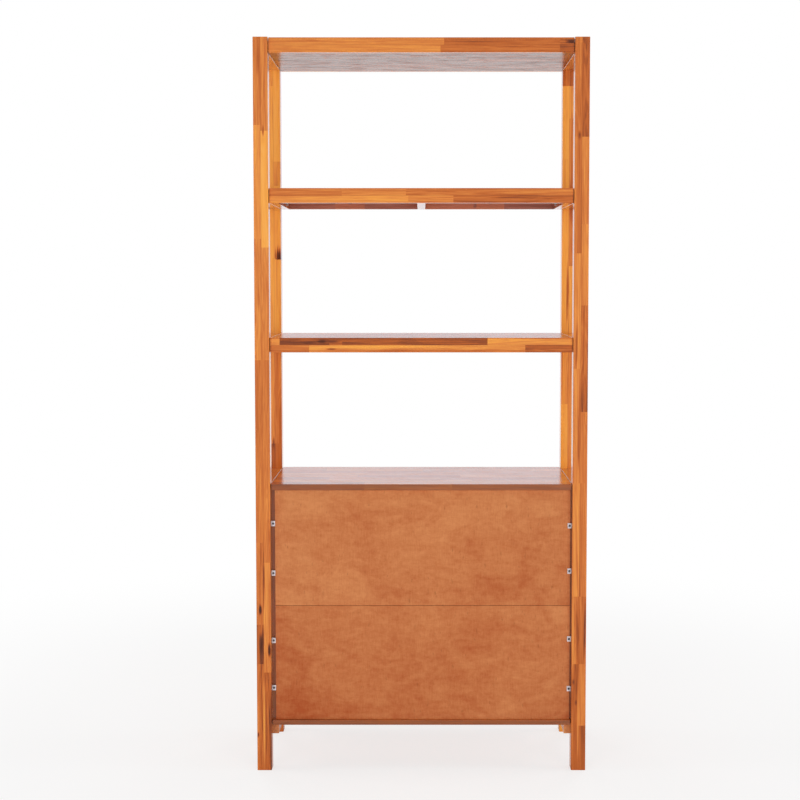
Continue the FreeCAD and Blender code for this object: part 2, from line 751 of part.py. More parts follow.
def add_clips():
    """Plastic clips over the edges of the backs, each held by a cross-slotted screw."""
    clip = Piece("clip_master", ("0", "0", "0"), ("clip_width", "clip + ply", "clip_height"))
    nodes.remove(clip.body)
    room = clip.sketch("XY_Plane")
    polygon(room, [("clip_rib", "0"), ("clip_width", "0"), ("clip_width", "ply"), ("clip_rib", "ply")])
    clip.cut(room, None, True)
    clip.ease("z", "clip_round")
    clip.drill("back", [("clip_width / 2", "clip_height / 2")], "screw_radius + fit")

    turned_screw = turned("clip_screw_turned", [
        ("0", "0"),
        ("screw_crown", "0"),
        ("screw_head_radius", "screw_head - screw_rim"),
        ("screw_head_radius", "screw_head"),
        ("screw_radius", "screw_head"),
        ("screw_radius", "screw_head + screw_length - screw_tip"),
        ("0", "screw_head + screw_length"),
    ])
    long, short = "slot_length", "slot_width"
    slots = fuse("clip_screw_slots", [
        box("slot_along", (f"-{long} / 2", f"-{short} / 2", "0"), (long, short, "slot_depth")),
        box("slot_across", (f"-{short} / 2", f"-{long} / 2", "0"), (short, long, "slot_depth")),
    ])
    screw = cut("clip_screw_master", turned_screw, slots)
    doc.recompute()

    inner_x = half_clear()
    seat = back_seat()
    outer_face = seat + size("ply") + size("clip")
    clips = []
    screws = []
    for side, sign in SIDES.items():
        for level in CLIP_LEVELS[side]:
            low = level - size("clip_height") / 2
            if side == "left":
                turn = FreeCAD.Rotation()
                corner = FreeCAD.Vector(-inner_x, seat, low)
            else:
                turn = FreeCAD.Rotation(AXES["y"], 180)
                corner = FreeCAD.Vector(inner_x, seat, low + size("clip_height"))
            clips.append(FreeCAD.Placement(corner, turn))
            line = sign * (inner_x - size("clip_width") / 2)
            screws.append(aimed((line, outer_face + size("screw_head"), level), -AXES["y"]))
    group("back_panel_clips", clip.body, clips)
    group("clip_screws", screw, screws)


def add_fasteners():
    """Dowels in the frame and cabinet joints, and socket-head bolts through battens, sides and cleats."""
    post_middle = half_clear() + size("stock") / 2
    front = front_plane()
    joints = (front + size("stock"), front + size("frame_depth") - size("stock"))
    dowel = rod("dowel_master", ("0", "0", "-dowel_length / 2"), "dowel_radius", "dowel_length")
    doc.recompute()
    places = []
    for side, sign in SIDES.items():
        for level in RAIL_LEVELS:
            rail = doc.getObject(f"side_rail_{level}_{side}")
            bottom = rail.Placement.Base.z
            for share in (0.25, 0.75):
                height = bottom + size("stock") * share
                places += [aimed((sign * post_middle, joint, height), AXES["y"]) for joint in joints]
    board_line = half_clear() - size("side_panel") / 2
    floor, ceiling = cabinet_span()
    sunk = size("dowel_length") / 2 - size("board_dowel_depth")
    middle = front + size("frame_depth") / 2
    for sign in SIDES.values():
        for shift in (-size("board_dowel_spread"), size("board_dowel_spread")):
            for height in (floor + sunk, ceiling - sunk):
                places.append(aimed((sign * board_line, middle + shift, height), AXES["z"]))
    group("dowels", dowel, places)

    turned_bolt = turned("bolt_turned", [
        ("0", "0"),
        ("bolt_head_radius", "0"),
        ("bolt_head_radius", "bolt_head"),
        ("bolt_radius", "bolt_head"),
        ("bolt_radius", "bolt_head + bolt_length"),
        ("0", "bolt_head + bolt_length"),
    ])
    socket = doc.addObject("Part::Prism", "bolt_hexagon")
    socket.Polygon = 6
    socket.setExpression("Circumradius", bound("socket_radius"))
    socket.setExpression("Height", bound("socket_depth"))
    bolt = cut("bolt_master", turned_bolt, socket)
    doc.recompute()
    clearance = size("bolt_radius") + size("bolt_clearance")
    bolts = []
    for side, sign in SIDES.items():
        clamped = [doc.getObject(f"{shelf}_end_batten_{side}") for shelf in ("top",) + SHELVES]
        clamped += [doc.getObject(f"cabinet_side_{side}"), doc.getObject(f"bottom_cleat_{side}")]
        for piece in clamped:
            extent = piece.Shape.BoundBox
            inner_face = extent.XMin if sign > 0 else extent.XMax
            for spot in bore_places(piece, clearance):
                head = inner_face - sign * size("bolt_head")
                bolts.append(aimed((head, spot.y, spot.z), AXES["x"] * sign))
    group("frame_bolts", bolt, bolts)


def add_shelf_pins():
    """Four pegs in the cabinet sides, each with a flat plate under the middle shelf."""
    stem = rod("peg_stem", ("0", "0", "0"), "peg_radius", "peg_depth")
    reach, wide = "peg_plate_reach", "peg_plate_width"
    plate = box("peg_rest", (f"-{wide} / 2", "0", f"-{reach}"), (wide, "peg_plate", reach))
    stub = rod("peg_stub", ("0", "0", f"-{reach}"), "peg_radius", reach)
    above = box("peg_trim", (f"-{wide}", "peg_plate", f"-2 * {reach}"), (f"2 * {wide}", wide, f"2 * {reach}"))
    peg = fuse("peg_master", [stem, cut("peg_support", fuse("peg_bracket", [stub, plate]), above)])
    doc.recompute()
    inner = half_clear() - size("side_panel")
    lines = (front_plane() + size("side_setback") + size("peg_setback"), back_seat() - size("peg_setback"))
    height = size("seam_level") - size("middle_shelf") / 2 - size("peg_plate")
    places = []
    for sign in SIDES.values():
        # Local Z runs into the side panel and local Y points up.
        turn = FreeCAD.Rotation(AXES["y"] * sign, AXES["z"], AXES["x"] * sign, "ZXY")
        for line in lines:
            places.append(FreeCAD.Placement(FreeCAD.Vector(sign * inner, line, height), turn))
    group("shelf_pins", peg, places)


def check_document():
    """Stop if any object failed or any piece has no sound shape."""
    for item in doc.Objects:
        if "Invalid" in item.State or "Error" in item.State:
            raise RuntimeError(f"{item.Label}: {item.State}")
    for item in nodes:
        if item.Shape.isNull() or not item.Shape.isValid() or not item.Shape.Solids:
            raise RuntimeError(f"{item.Label}: no sound solid")


def write_parts():
    """Write each piece to its own file and print its extent."""
    os.makedirs("parts", exist_ok=True)
    for item in nodes:
        item.Shape.exportStep(f"parts/{item.Label}.step")
    whole = Part.makeCompound([item.Shape for item in nodes]).BoundBox
    print(f"{len(nodes)} nodes, X {whole.XMin:.2f} to {whole.XMax:.2f}, "
          f"Y {whole.YMin:.2f} to {whole.YMax:.2f}, Z {whole.ZMin:.2f} to {whole.ZMax:.2f}")


fill_sheet()
add_posts()
add_side_rails()
add_shelf("top", RAIL_LEVELS["top"], with_lining=True)
for shelf in SHELVES:
    add_shelf(shelf, RAIL_LEVELS[shelf], with_lining=False)
add_cabinet_boards()
add_doors()
add_catches()
add_hinges()
add_clips()
add_fasteners()
add_shelf_pins()
doc.recompute()
check_document()
write_parts()
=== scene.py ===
import math

import bpy
from bpy.props import FloatProperty, FloatVectorProperty, PointerProperty
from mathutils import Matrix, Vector


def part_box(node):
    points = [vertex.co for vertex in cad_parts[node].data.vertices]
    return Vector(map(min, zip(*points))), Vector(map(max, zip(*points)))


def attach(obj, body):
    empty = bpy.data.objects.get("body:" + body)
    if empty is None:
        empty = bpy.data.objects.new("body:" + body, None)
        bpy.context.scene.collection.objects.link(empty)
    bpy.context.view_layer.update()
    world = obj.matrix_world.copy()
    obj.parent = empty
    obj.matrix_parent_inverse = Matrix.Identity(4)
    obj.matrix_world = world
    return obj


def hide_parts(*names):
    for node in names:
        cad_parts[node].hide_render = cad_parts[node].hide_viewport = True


bl_info = {
    "name": "Bookcase Cabinet",
    "version": (1, 0, 0),
    "blender": (4, 5, 0),
    "location": "View3D > Sidebar > Bookcase",
    "description": "Finishes a bookcase cabinet of jointed acacia and sets up its studio",
    "category": "Object",
}

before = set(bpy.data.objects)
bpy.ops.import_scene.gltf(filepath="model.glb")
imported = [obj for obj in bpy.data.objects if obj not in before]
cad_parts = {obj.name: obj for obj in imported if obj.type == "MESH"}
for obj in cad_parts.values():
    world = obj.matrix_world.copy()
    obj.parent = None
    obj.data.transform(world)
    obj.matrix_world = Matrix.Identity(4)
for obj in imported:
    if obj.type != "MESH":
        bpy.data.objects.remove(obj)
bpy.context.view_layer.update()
MM = 0.001

# Places of the tones on the acacia's colour scale, from dark to pale
TONES = {
    "knot": 0.0, "umber": 0.14, "chestnut": 0.24, "russet": 0.34, "copper": 0.43, "ginger": 0.52,
    "apricot": 0.61, "amber": 0.70, "honey": 0.88,
}

# Staves of the members that are seen first, row by row, as lengths in millimetres and tones.
# Posts run from the floor up and their rows from left to right.
# Rails run from left to right and their rows from the lower to the upper.
CUTS = {
    "post_rear_right": (
        ((244, "russet"), (271, "amber"), (499, "ginger"), (273, "apricot"), (281, "honey"),
         (231, "apricot")),
        ((264, "copper"), (99, "russet"), (203, "ginger"), (447, "ginger"), (301, "apricot"),
         (271, "amber"), (214, "ginger")),
    ),
    "post_rear_left": (
        ((107, "russet"), (160, "apricot"), (168, "copper"), (276, "ginger"), (181, "ginger"),
         (255, "copper"), (196, "apricot"), (216, "apricot"), (241, "russet")),
        ((267, "russet"), (168, "ginger"), (276, "apricot"), (284, "apricot"), (284, "apricot"),
         (277, "ginger"), (244, "ginger")),
    ),
    "post_front_right": (
        ((778, "copper"), (243, "ginger"), (247, "honey"), (190, "honey"), (66, "amber"),
         (276, "honey")),
        ((778, "russet"), (243, "apricot"), (247, "honey"), (150, "honey"), (300, "honey"),
         (82, "amber")),
    ),
    "post_front_left": (
        ((885, "amber"), (165, "apricot"), (200, "honey"), (150, "apricot"), (232, "apricot"),
         (84, "amber"), (84, "russet")),
        ((885, "honey"), (165, "amber"), (200, "honey"), (280, "honey"), (186, "honey"),
         (84, "copper")),
    ),
    "top_rear_rail": (
        ((33, "russet"), (289, "copper"), (418, "apricot")),
        ((33, "russet"), (282, "copper"), (425, "apricot")),
    ),
    "upper_shelf_rear_rail": (
        ((290, "copper"), (110, "apricot"), (340, "amber")),
        ((405, "ginger"), (158, "apricot"), (177, "ginger")),
    ),
    "upper_shelf_front_rail": (
        ((149, "umber"), (77, "apricot"), (135, "ginger"), (157, "umber"), (78, "ginger"),
         (144, "chestnut")),
        ((310, "ginger"), (190, "copper"), (240, "amber")),
    ),
    "lower_shelf_rear_rail": (
        ((113, "russet"), (531, "amber"), (96, "ginger")),
        ((206, "amber"), (356, "chestnut"), (32, "russet"), (120, "chestnut"), (26, "amber")),
    ),
}

# Knots, streaks and one painted highlight in those members: place along and across, reach back and ahead,
# half width, and tone.
# Their lengths are in millimetres, and reach runs along the member.
MARKS = {
    "post_rear_right": (
        (302, 4, 18, 18, 5, "knot"), (310, 24, 42, 42, 6, "knot"), (403, 26, 14, 14, 4, "knot"),
        (120, 33, 130, 130, 4, "apricot"), (110, 24, 110, 140, 3, "chestnut"),
        # The pale honey streak on the joint between the rows, 18 mm across, is a painted highlight.
        (120, 18, 130, 130, 3, "honey"), (110, 12, 110, 110, 3, "chestnut"), (90, 33, 9, 9, 3, "knot"),
        (470, 18, 90, 90, 3, "umber"), (1575, 12, 14, 14, 3, "russet"), (1745, 23, 45, 45, 3, "russet"),
        (1690, 17, 90, 90, 2, "copper")),
    "post_rear_left": (
        (330, 21, 110, 110, 6, "chestnut"), (340, 33, 140, 140, 4, "amber"), (90, 33, 90, 90, 3, "ginger"),
        (120, 19, 120, 120, 3, "amber"), (222, 31, 9, 9, 4, "umber"), (170, 25, 9, 9, 4, "umber"),
        (350, 3, 80, 80, 3, "umber"), (1565, 24, 12, 12, 4, "umber"), (1060, 28, 70, 70, 3, "russet"),
        (850, 21, 130, 130, 4, "russet"), (1690, 17, 110, 110, 3, "russet")),
    "post_front_right": ((1271, 4, 3, 32, 14, "knot"), (782, 22, 20, 20, 4, "umber")),
    "post_front_left": ((1180, 20, 90, 90, 4, "russet"), (1420, 12, 70, 70, 5, "russet")),
    "top_rear_rail": (
        (8, 26, 18, 18, 5, "knot"), (190, 30, 110, 120, 3, "russet"), (120, 14, 90, 90, 2, "russet")),
    "upper_shelf_rear_rail": ((190, 21, 110, 90, 3, "russet"), (120, 13, 100, 120, 3, "chestnut")),
    "upper_shelf_front_rail": (
        (228, 9, 5, 5, 10, "knot"), (188, 16, 6, 6, 4, "knot"), (558, 16, 6, 6, 4, "knot")),
    "lower_shelf_rear_rail": (
        (612, 27, 14, 14, 6, "knot"), (588, 27, 22, 22, 5, "umber"), (590, 8, 12, 12, 3, "umber"),
        (372, 3, 330, 330, 8, "copper"), (480, 14, 200, 200, 4, "honey")),
}

# Factors that give staves unlike numbers between 0 and 1
STAVE_STEP = 0.618
ROW_STEP = 0.37
FIGURE_STEP = 7.3

# Shares of a member's length by which its front layer's staves, and their second row, are shifted
LAYER_SHIFT = 0.37
ROW_SHIFT = 0.19

# Stave lengths by which the staves of rows, layers and members are set apart where they fall at random
ROW_APART = 13.7
LAYER_APART = 29.3
MEMBER_APART = 7.9

# How far staves lie apart in the grain, along it, from row to row and from layer to layer
STAVE_SPREAD = (37.0, 53.0, 71.0)

# Acacia's grain: features per metre along the staves and across them, and a shift
GRAIN = {
    "broad": (2.6, 52, 0), "streak": (2.2, 170, 5), "fibre": (9, 300, 9), "pores": (70, 2200, 13),
    "sheen": (14, 60, 21),
}

# Growth rings: the angle that the broad grain runs through, in radians
RINGS = 58.0

# Millimetres from a glue seam to where it starts to fade and to where it is gone
SEAM_FADE = (0.1, 0.7)

# Depth of the colour on sawn ends and rear faces, and relief of the grain, in millimetres
FACE_DEPTH = 0.4
GRAIN_RELIEF = 0.12

# What unevenness does to lacquer: streaks in its coat, and roughness
STREAKINESS = 5.0
DULLNESS = 0.12

# Plywood's figure: features per metre across the backs, through them and up them
PLY_FIGURE = {
    "cloud": (5.5, 1, 4.5), "flame": (11, 1, 20), "curl": (45, 1, 95), "fibre": (420, 420, 60),
    "fleck": (150, 1, 60),
}

# Relief of plywood, and of metal and plastic, in millimetres
PLY_RELIEF = 0.05
MOTTLE_RELIEF = 0.03

# Heights of the clips on either side of the backs, in millimetres
CLIP_LEVELS = {-1: (201.5, 326.5, 496.5, 609.5), 1: (204, 323, 491.5, 615)}

# From the posts inwards to the clips' screws, room for the clips' ribs, and rounding, in millimetres
SCREW_INSET = 5.25
RIB_ROOM = 2.0
CLIP_ROUND = 0.35

# Profile of a turned knob: distance from the door and radius, in millimetres
KNOB_PROFILE = (
    (0, 9.0), (1.2, 9.2), (2.4, 8.8), (3.4, 7.4), (5.0, 6.5), (8.0, 6.2), (10.5, 6.8), (12.6, 8.8),
    (14.2, 11.6), (16.0, 13.8), (18.0, 14.8), (19.8, 14.9), (21.4, 14.0), (22.6, 12.2), (23.4, 9.6),
    (23.8, 6.4), (24.0, 2.6),
)
KNOB_SIDES = 48

# Catches, in millimetres: depth of the mouth and rounding of the housing
MOUTH_DEPTH = 1.2
HOUSING_ROUND = 0.6

# Their steel poles, in millimetres: thickness, rounding, inset from the front and height off the middle
POLE_SIZE = 1.6
POLE_ROUND = 0.3
POLE_INSET = 0.9
POLE_LEVEL = 1.9

# Share of a catch's width that its poles take up
POLE_SHARE = 0.8

# Degrees between two faces from which their edge is rounded, and up to which it is shaded smoothly
SHARP = 30
SMOOTH = 35

# Softboxes: place in metres and share of the usual power
SOFTBOXES = {
    "softbox_rear_left": ((-2.3, 4.5, 1.35), 1.0),
    "softbox_rear_right": ((2.3, 4.5, 1.35), 1.0),
    "softbox_front_left": ((-2.3, -4.5, 1.35), 1.0),
    "softbox_front_right": ((2.3, -4.5, 1.35), 1.0),
    "softbox_left": ((-4.2, 0, 2.1), 0.8),
    "softbox_right": ((4.2, 0, 2.1), 0.8),
    "softbox_top": ((0, 0, 4.4), 0.3),
}
SOFTBOX_SIZE = (2.2, 1.8)

# Height that the softboxes point at, in metres
AIM_HEIGHT = 0.9

# Metres from the unit's middle at which the floor's shadow starts to fade and is gone
SHADOW_FADE = (1.0, 2.6)

# How white the floor shines near the unit, to the camera and in reflections
SEEN_GLOW = 0.7
MIRRORED_GLOW = 0.2

# Colours of the stage, as linear light
WHITE = (1.0, 1.0, 1.0, 1.0)
COOL_WHITE = (0.93, 0.94, 1.0, 1.0)
FLOOR_PAINT = (0.92, 0.92, 0.92, 1.0)

# Width of the camera's sensor, in millimetres
SENSOR = 36.0


def tint(red, green, blue):
    """A display colour from 0 to 255 as the fractions that a colour property holds."""
    return (red / 255, green / 255, blue / 255)


def linear(colour):
    """A display colour as the light that it stands for, with full opacity."""
    return (*[part / 12.92 if part <= 0.04045 else ((part + 0.055) / 1.055) ** 2.4 for part in colour], 1.0)


def colour_property(name, description, default):
    """A colour that a user can change."""
    return FloatVectorProperty(
        name=name, description=description, subtype="COLOR_GAMMA", size=3, min=0, max=1, default=default)


def length_property(name, description, default):
    """A length in metres that a user can change."""
    return FloatProperty(name=name, description=description, unit="LENGTH", default=default)


def share_property(name, description, default):
    """A share from 0 to 1 that a user can change."""
    return FloatProperty(name=name, description=description, subtype="FACTOR", min=0, max=1, default=default)


class BookcaseWood(bpy.types.PropertyGroup):
    """Colours, stave sizes and lacquer of the wood."""

    honey: colour_property("Honey", "The palest staves", tint(244, 165, 69))
    amber: colour_property("Amber", "Pale staves", tint(228, 142, 65))
    ginger: colour_property("Ginger", "Staves of the middle tone", tint(206, 115, 51))
    russet: colour_property("Russet", "Dark staves", tint(182, 92, 35))
    umber: colour_property("Umber", "The darkest staves and streaks", tint(124, 60, 30))
    knot: colour_property("Knot", "Hearts of the knots", tint(80, 35, 12))
    end_grain: colour_property("End grain", "Sawn ends of staves", tint(214, 156, 112))
    board_edge: colour_property("Board edge", "Rear edges of the cabinet's boards", tint(132, 72, 38))
    raw: colour_property("Raw wood", "Bare inner faces of the shelves' front rails", tint(198, 140, 126))
    ply_light: colour_property("Pale plywood", "Pale parts of the backs", tint(208, 134, 82))
    ply_dark: colour_property("Dark plywood", "Dark parts of the backs", tint(171, 81, 38))
    dowel: colour_property("Dowel", "Turned dowels", tint(206, 170, 126))
    stave_width: length_property("Stave width", "Width of a stave in posts and rails", 18 * MM)
    stave_length: length_property("Stave length", "Usual length of a stave", 280 * MM)
    board_stave: length_property("Board stave", "Width of a stave in panels and doors", 45 * MM)
    lacquer: share_property("Lacquer", "Roughness of the lacquer", 0.13)


class BookcaseFittings(bpy.types.PropertyGroup):
    """Colours and sizes of the clips, knobs, catches and metalwork."""

    clip: colour_property("Clip", "Moulded clips on the backs", tint(226, 224, 230))
    screw: colour_property("Clip screw", "Blackened screws in the clips", tint(96, 94, 100))
    brass: colour_property("Hinge", "Aged brass of the hinges", tint(176, 140, 84))
    zinc: colour_property("Zinc", "Plated bolts, pins and strike plates", tint(178, 178, 182))
    catch: colour_property("Catch", "Housings of the magnetic catches", tint(74, 47, 34))
    clip_width: length_property("Clip width", "Width of a clip", 9.2 * MM)
    clip_height: length_property("Clip height", "Height of a clip", 13 * MM)
    clip_rim: length_property("Clip rim", "Width of the raised rim round a clip's screw", 1.6 * MM)
    clip_rise: length_property("Clip rise", "Height of that rim", 0.7 * MM)
    catch_lip: length_property("Catch lip", "Lip round the mouth of a catch", 2.4 * MM)


class BookcaseStage(bpy.types.PropertyGroup):
    """Camera, lamps and floor."""

    camera_back: length_property("Camera distance", "From the middle of the unit to the camera", 3.8)
    camera_height: length_property("Camera height", "Above the floor", 1.215)
    camera_dip: FloatProperty(
        name="Camera dip", description="How far the camera looks down", subtype="ANGLE",
        default=math.radians(3.552))
    lens: FloatProperty(name="Lens", description="Focal length", subtype="DISTANCE_CAMERA", default=66.71)
    shift_x: FloatProperty(name="Sideways shift", description="Lens shift to the side", default=-0.0267)
    shift_y: FloatProperty(name="Upright shift", description="Lens shift up or down", default=-0.035)
    floor: length_property("Floor", "Side of the floor", 40.0)
    ambient: FloatProperty(name="Ambient", description="Light from all round", default=0.36)
    softbox: FloatProperty(name="Softbox", description="Watts of each softbox", subtype="POWER", default=63.0)


class Wire:
    """An output in a node tree; arithmetic on it adds Math nodes."""

    def __init__(self, finish, socket):
        self.finish = finish
        self.socket = socket

    def math(self, operation, *terms):
        return self.finish.node("ShaderNodeMath", {"operation": operation}, dict(enumerate(terms)))

    def __add__(self, other):
        return self.math("ADD", self, other)

    def __sub__(self, other):
        return self.math("SUBTRACT", self, other)

    def __rsub__(self, other):
        return self.math("SUBTRACT", other, self)

    def __mul__(self, other):
        return self.math("MULTIPLY", self, other)

    def __truediv__(self, other):
        return self.math("DIVIDE", self, other)

    def __pow__(self, power):
        return self.math("POWER", self, power)

    def __gt__(self, other):
        return self.math("GREATER_THAN", self, other)

    def __abs__(self):
        return self.math("ABSOLUTE", self)

    def __floor__(self):
        return self.math("FLOOR", self)

    __radd__ = __add__
    __rmul__ = __mul__

    def sine(self):
        return self.math("SINE", self)

    def larger(self, other):
        return self.math("MAXIMUM", self, other)


class Finish:
    """A node tree under construction, for a material or the world."""

    def __init__(self, block):
        block.use_nodes = True
        self.block = block
        self.tree = block.node_tree
        self.tree.nodes.clear()

    def node(self, kind, settings, inputs, output=0):
        """Add a node, set it up, fill its sockets with values or wires, and give one of its outputs."""
        made = self.tree.nodes.new(kind)
        for name, value in settings.items():
            if name == "stops":
                self.set_stops(made.color_ramp, value)
            elif name == "interpolation":
                made.color_ramp.interpolation = value
            else:
                setattr(made, name, value)
        for name, value in inputs.items():
            if isinstance(value, Wire):
                self.tree.links.new(value.socket, made.inputs[name])
            else:
                made.inputs[name].default_value = value
        return Wire(self, made.outputs[output]) if made.outputs else None

    def set_stops(self, ramp, stops):
        """Give a ramp its stops: position and colour each."""
        for stop in stops[2:]:
            ramp.elements.new(stop[0])
        for element, (position, colour) in zip(ramp.elements, stops):
            element.position = position
            element.color = colour

    def outputs(self, wire):
        """All outputs of the node behind a wire, by name."""
        return {socket.name: Wire(self, socket) for socket in wire.socket.node.outputs}

    def place(self):
        """The three object coordinates, in metres."""
        spot = self.node("ShaderNodeTexCoord", {}, {}, "Object")
        parts = self.outputs(self.node("ShaderNodeSeparateXYZ", {}, {"Vector": spot}))
        return {name.lower(): wire for name, wire in parts.items()}

    def vector(self, x, y, z):
        return self.node("ShaderNodeCombineXYZ", {}, {"X": x, "Y": y, "Z": z})

    def noise(self, vector, detail=2.0, roughness=0.5, distortion=0.0):
        """Soft noise from 0 to 1; the vector already has its scale."""
        inputs = {
            "Vector": vector, "Scale": 1.0, "Detail": detail, "Roughness": roughness,
            "Distortion": distortion}
        return self.node("ShaderNodeTexNoise", {}, inputs)

    def step(self, value, start, end):
        """Rise smoothly from 0 to 1 between two values."""
        inputs = {"Value": value, "From Min": start, "From Max": end}
        return self.node("ShaderNodeMapRange", {"interpolation_type": "SMOOTHSTEP"}, inputs)

    def clamp(self, value, low, high):
        return self.node("ShaderNodeClamp", {}, {"Value": value, "Min": low, "Max": high})

    def mix(self, share, first, second):
        """Two colours, the second by its share."""
        return self.node("ShaderNodeMix", {"data_type": "RGBA"}, {0: share, 6: first, 7: second}, 2)

    def ramp(self, value, stops, interpolation="LINEAR"):
        settings = {"interpolation": interpolation, "stops": stops}
        return self.node("ShaderNodeValToRGB", settings, {"Fac": value})

    def split(self, colour):
        """The three parts of a colour."""
        return list(self.outputs(self.node("ShaderNodeSeparateColor", {}, {"Color": colour})).values())

    def bump(self, height, distance):
        return self.node("ShaderNodeBump", {}, {"Height": height, "Distance": distance, "Strength": 1.0})

    def surface(self, **sockets):
        """Close a material with the usual shader; socket names have underscores for spaces."""
        inputs = {name.replace("_", " "): value for name, value in sockets.items()}
        shader = self.node("ShaderNodeBsdfPrincipled", {}, inputs)
        self.node("ShaderNodeOutputMaterial", {}, {"Surface": shader})
        return self.block


def new_finish(name):
    return Finish(bpy.data.materials.new(name))


def give(node, material):
    """Put a finish on a CAD node."""
    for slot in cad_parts[node].material_slots:
        slot.material = material


def stave_stops(row):
    """A row of staves as ramp stops: tone, a number of the stave's own, and how strong its figure is."""
    total = sum(length for length, tone in row)
    stops = []
    start = 0.0
    for number, (length, tone) in enumerate(row):
        own = (number * STAVE_STEP + total * ROW_STEP) % 1
        stops.append((start, (TONES[tone], own, (own * FIGURE_STEP) % 1, 1.0)))
        start += length / total
    return stops


def acacia(node, stave_width, tones=(0.38, 0.78), gloss=1.3, coat=1.0, uneven=0.0, end_share=0.55,
           rear=None, rear_share=0.8):
    """Lacquered acacia for one member: staves along its length, in rows and layers across it.

    tones bounds the staves' tones, gloss is the lacquer's index, coat its share and uneven how streaky it
    lies, end_share is how much the sawn ends show, and rear colours the rear face by rear_share.
    """
    wood = bpy.context.scene.bookcase_wood
    low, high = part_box(node)
    size = dict(zip("xyz", high - low))
    along, row, layer = sorted("zxy", key=lambda axis: -round(size[axis], 4))
    finish = new_finish("acacia_" + node)
    place = finish.place()
    spot = {axis: place[axis] - corner for axis, corner in zip("xyz", low)}
    own = sum(map(ord, node)) % 97

    numbers = {}
    seams = []
    for axis in (row, layer):
        count = max(1, round(size[axis] / stave_width))
        steps = finish.clamp(spot[axis] * (count / size[axis]), 0.001, count - 0.001)
        numbers[axis] = math.floor(steps)
        if count > 1:
            joint = finish.clamp(math.floor(steps + 0.5), 1, count - 1)
            gap = abs(steps - joint) * (size[axis] / count)
            seams.append(1 - finish.step(gap, SEAM_FADE[0] * MM, SEAM_FADE[1] * MM))

    if node in CUTS:
        reach = spot[along] / size[along]
        if size[layer] > 1.5 * stave_width:
            reach = reach + (1 - numbers[layer]) * (numbers[row] * ROW_SHIFT + LAYER_SHIFT)
        reach = reach - math.floor(finish.clamp(reach, 0.0, 1.999))
        lower, upper = (finish.ramp(reach, stave_stops(cuts), "CONSTANT") for cuts in CUTS[node])
        tone, seed, figure = finish.split(finish.mix(numbers[row], lower, upper))
    else:
        reach = spot[along] / wood.stave_length + numbers[row] * ROW_APART
        reach = reach + numbers[layer] * LAYER_APART + own * MEMBER_APART
        cells = {"W": reach, "Scale": 1.0, "Randomness": 0.75}
        stave = finish.node("ShaderNodeTexVoronoi", {"voronoi_dimensions": "1D"}, cells, "Color")
        tone, seed, figure = finish.split(stave)
        tone = tone * (tones[1] - tones[0]) + tones[0]

    def grain(part, **looks):
        """Noise that runs long along the staves and short across, different in each stave."""
        lengthwise, crosswise, shift = GRAIN[part]
        return finish.noise(finish.vector(
            spot[along] * lengthwise + seed * STAVE_SPREAD[0] + shift,
            spot[row] * crosswise + seed * STAVE_SPREAD[1] + own,
            spot[layer] * crosswise + seed * STAVE_SPREAD[2]), **looks)

    broad = grain("broad", detail=2.0, distortion=0.8)
    streak = grain("streak", detail=2.0)
    fibre = grain("fibre", detail=3.0, roughness=0.65)
    pores = grain("pores", detail=1.0)
    rings = (broad * RINGS).sine()
    strength = figure * 0.6 + 0.4
    tone = tone + (broad - 0.5) * strength * 0.7 + rings * strength * 0.07
    tone = tone - finish.step(streak, 0.58, 0.74) * strength * 0.3
    for distance, across, back, ahead, width, mark in MARKS.get(node, ()):
        offset = spot[along] - distance * MM
        length = (offset / (ahead * MM)).larger(offset / (-back * MM))
        breadth = (spot[row] - across * MM) / (width * MM)
        ring = (length * length + breadth * breadth) ** 0.5 + (fibre - 0.5) * 1.6
        tone = tone + (1 - finish.step(ring, 0.15, 1.2)) * (TONES[mark] - tone)
    tone = tone + (fibre - 0.5) * 0.5 - finish.step(pores, 0.63, 0.75) * 0.07
    colour = finish.ramp(tone, [
        (TONES["knot"], linear(wood.knot)),
        (TONES["umber"], linear(wood.umber)),
        (TONES["russet"], linear(wood.russet)),
        (TONES["ginger"], linear(wood.ginger)),
        (TONES["amber"], linear(wood.amber)),
        (TONES["honey"], linear(wood.honey)),
        (1.0, linear([part * 0.94 + 0.06 for part in wood.honey])),
    ])

    height = broad * 1.5 + fibre * 0.5 + pores * 0.3
    if seams:
        seam = sum(seams[1:], seams[0])
        height = height - seam * 0.6
        colour = finish.mix(seam * 0.35, colour, linear(wood.umber))
    ends = abs(spot[along] / size[along] - 0.5) > 0.5 - FACE_DEPTH * MM / size[along]
    colour = finish.mix(ends * end_share, colour, linear(wood.end_grain))
    if rear is not None:
        share = (spot["y"] > size["y"] - FACE_DEPTH * MM) * (rear_share + (fibre - 0.5))
        colour = finish.mix(finish.clamp(share, 0.0, 1.0), colour, linear(rear))

    if uneven:
        sheen = grain("sheen", detail=4.0, roughness=0.75)
        coat = finish.clamp(coat + (sheen - 0.5) * (uneven * STREAKINESS), 0.0, 1.0)
    return finish.surface(
        Base_Color=colour,
        Roughness=0.32 + (fibre - 0.5) * 0.22,
        Normal=finish.bump(height, GRAIN_RELIEF * MM),
        Specular_IOR_Level=0.05,
        Coat_Weight=coat,
        Coat_IOR=gloss,
        Coat_Roughness=wood.lacquer + uneven * DULLNESS,
    )


def dress_stock(*starts, **looks):
    """Finish the posts, rails and battens whose names start so."""
    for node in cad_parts:
        if node.startswith(starts):
            give(node, acacia(node, bpy.context.scene.bookcase_wood.stave_width, **looks))


def dress_boards(nodes, tones, gloss, **looks):
    """Finish panels, boards and doors, which have wider staves."""
    for node in nodes:
        give(node, acacia(node, bpy.context.scene.bookcase_wood.board_stave, tones, gloss, **looks))


